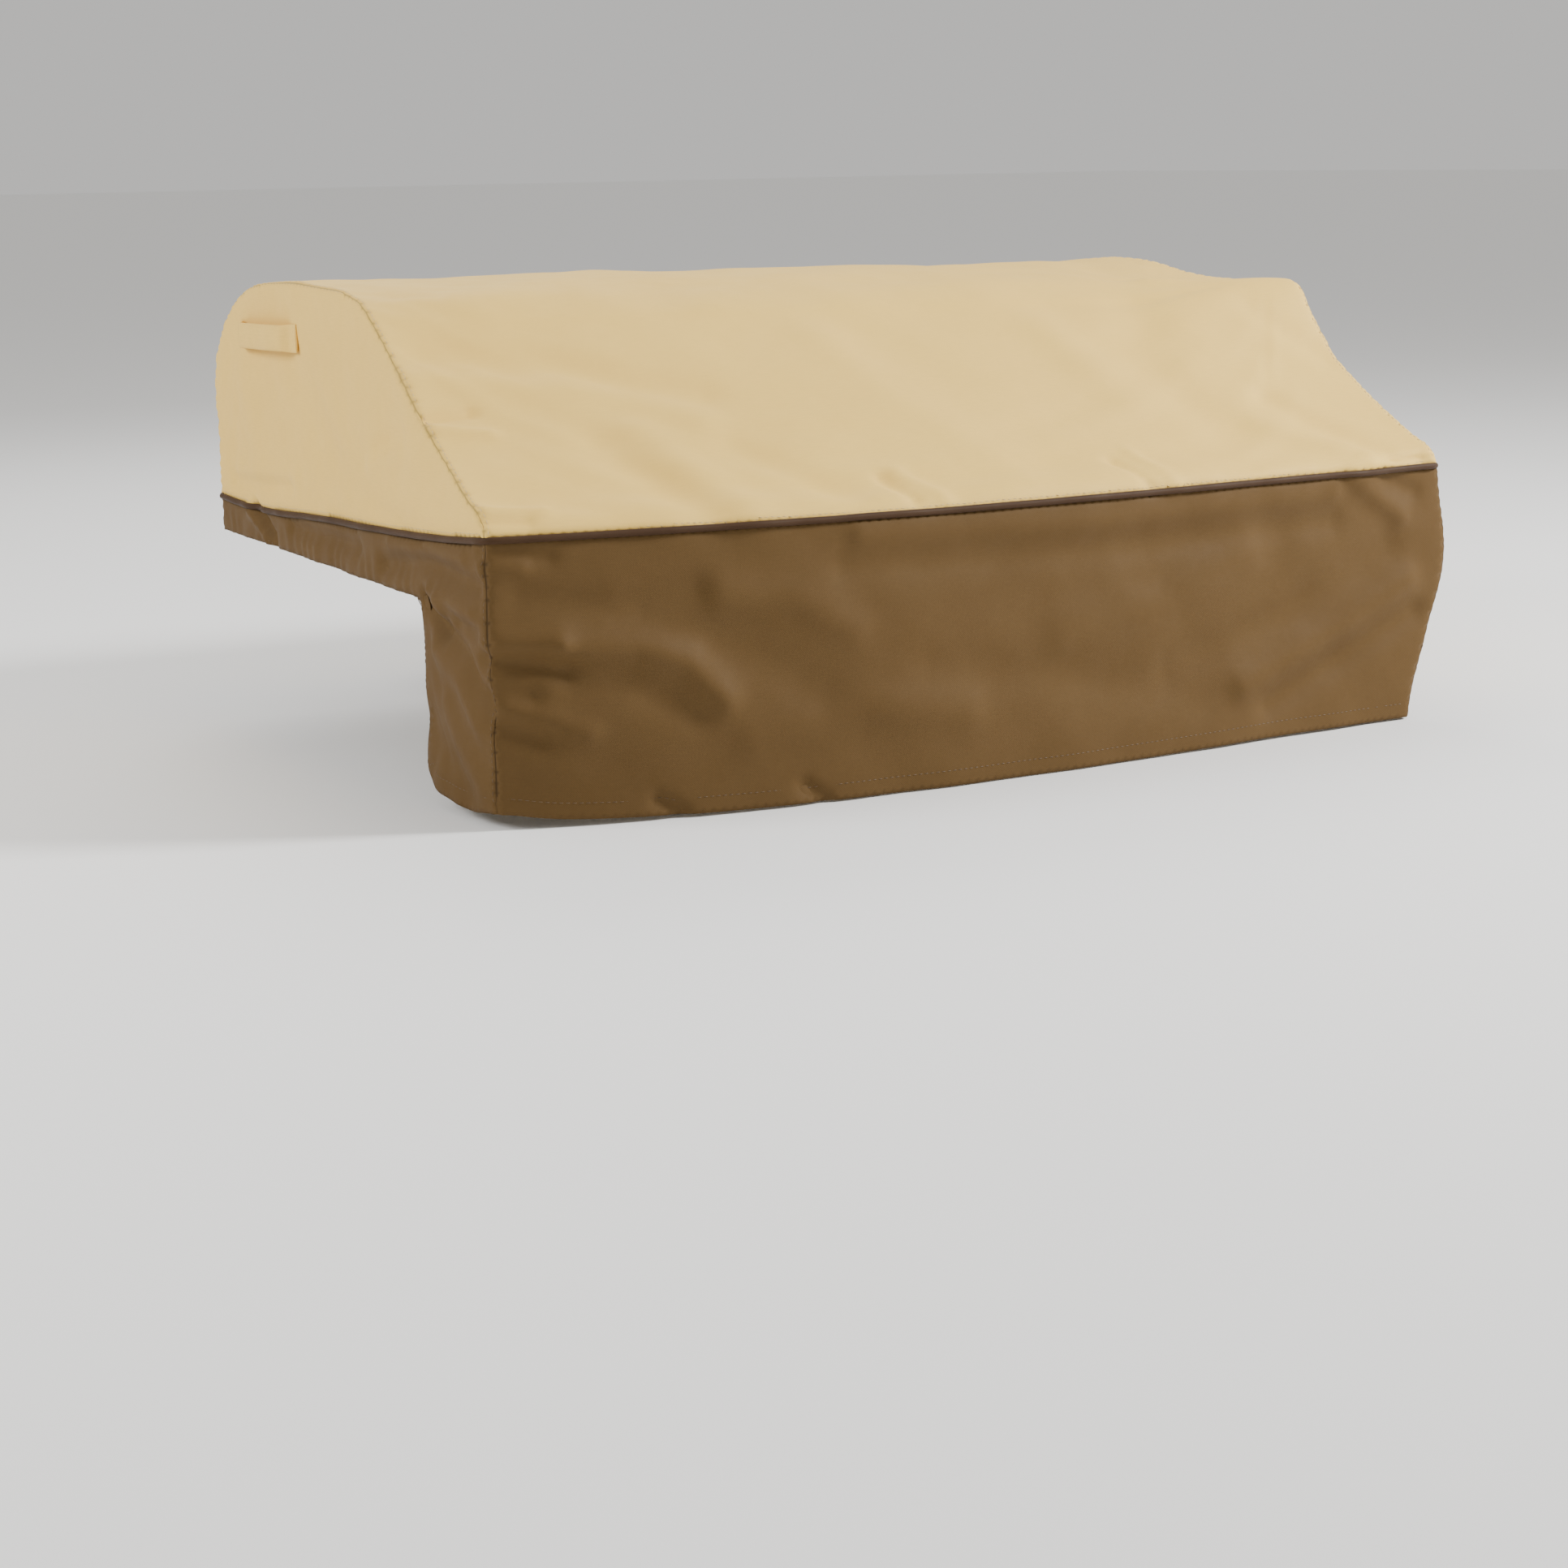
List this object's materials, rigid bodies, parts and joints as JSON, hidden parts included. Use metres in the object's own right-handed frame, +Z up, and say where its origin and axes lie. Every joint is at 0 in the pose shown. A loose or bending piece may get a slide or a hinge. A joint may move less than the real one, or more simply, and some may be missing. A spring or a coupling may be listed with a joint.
{
  "type": "built-in grill cover",
  "caption": "Fitted cloth cover for a built-in grill head: sloped tan hood, dark piping, brown skirt with a long front drop, padded side handles and an elastic rear hem.",
  "frame": {"origin": "centre of the cover's mouth on the counter's top face, where the grill head it covers stands up through the counter", "axes": "+X to the right along the front, +Y to the back, +Z up from the counter"},
  "size_m": [1.1416, 0.9408, 0.492],
  "materials": {
    "tan_cloth": "matte woven polyester, coated inside",
    "brown_cloth": "satin woven polyester, coated inside",
    "piping_cloth": "matte woven piping",
    "binding_tape": "ribbed binding tape",
    "elastic": "braided elastic cord",
    "eyelet_brass": "satin pressed brass",
    "moulded_black": "matte moulded acetal",
    "spring_steel": "plain wire",
    "foam": "closed-cell foam"
  },
  "bodies": {
    "cover": {"centre_panel": "tan_cloth", "left_side_panel": "tan_cloth", "right_side_panel": "tan_cloth", "front_skirt": "brown_cloth", "left_side_skirt": "brown_cloth", "right_side_skirt": "brown_cloth", "back_skirt": "brown_cloth", "piping_cover": "piping_cloth", "piping_filler": "foam", "left_seam_binding": "binding_tape", "right_seam_binding": "binding_tape", "left_corner_binding": "binding_tape", "right_corner_binding": "binding_tape", "hem_casing": "brown_cloth", "left_elastic_cord": "elastic", "right_elastic_cord": "elastic", "left_eyelet": "eyelet_brass", "right_eyelet": "eyelet_brass", "cord_end_stop": "moulded_black", "left_handle_tabs": "tan_cloth", "right_handle_tabs": "tan_cloth"},
    "left_handle": {"left_handle_sleeve": "tan_cloth", "left_handle_foam": "foam"},
    "right_handle": {"right_handle_sleeve": "tan_cloth", "right_handle_foam": "foam"},
    "cord_lock": {"cord_lock_body": "moulded_black", "cord_lock_spring": "spring_steel"},
    "lock_button": {"cord_lock_button": "moulded_black"}
  },
  "joints": [
    {"name": "left_handle_swing", "type": "hinge", "parent": "cover", "child": "left_handle", "pos_m": [-0.55436, 0.23203, 0.235], "axis": [0.0175, 0.9998, 0], "range_deg": [-25, 25], "stiffness_Nm_per_rad": 0.05},
    {"name": "right_handle_swing", "type": "hinge", "parent": "cover", "child": "right_handle", "pos_m": [0.55436, 0.23203, 0.235], "axis": [0.0175, -0.9998, 0], "range_deg": [-25, 25], "stiffness_Nm_per_rad": 0.05},
    {"name": "cord_lock_slide", "type": "slide", "parent": "cover", "child": "cord_lock", "axis": [0, 1, 0], "range_m": [0, 0.012]},
    {"name": "lock_button_press", "type": "slide", "parent": "cord_lock", "child": "lock_button", "axis": [0, 0, -1], "range_m": [0, 0.0025], "stiffness_N_per_m": 400, "springref_m": -0.005, "deforming": ["cord_lock_spring"]}
  ]
}
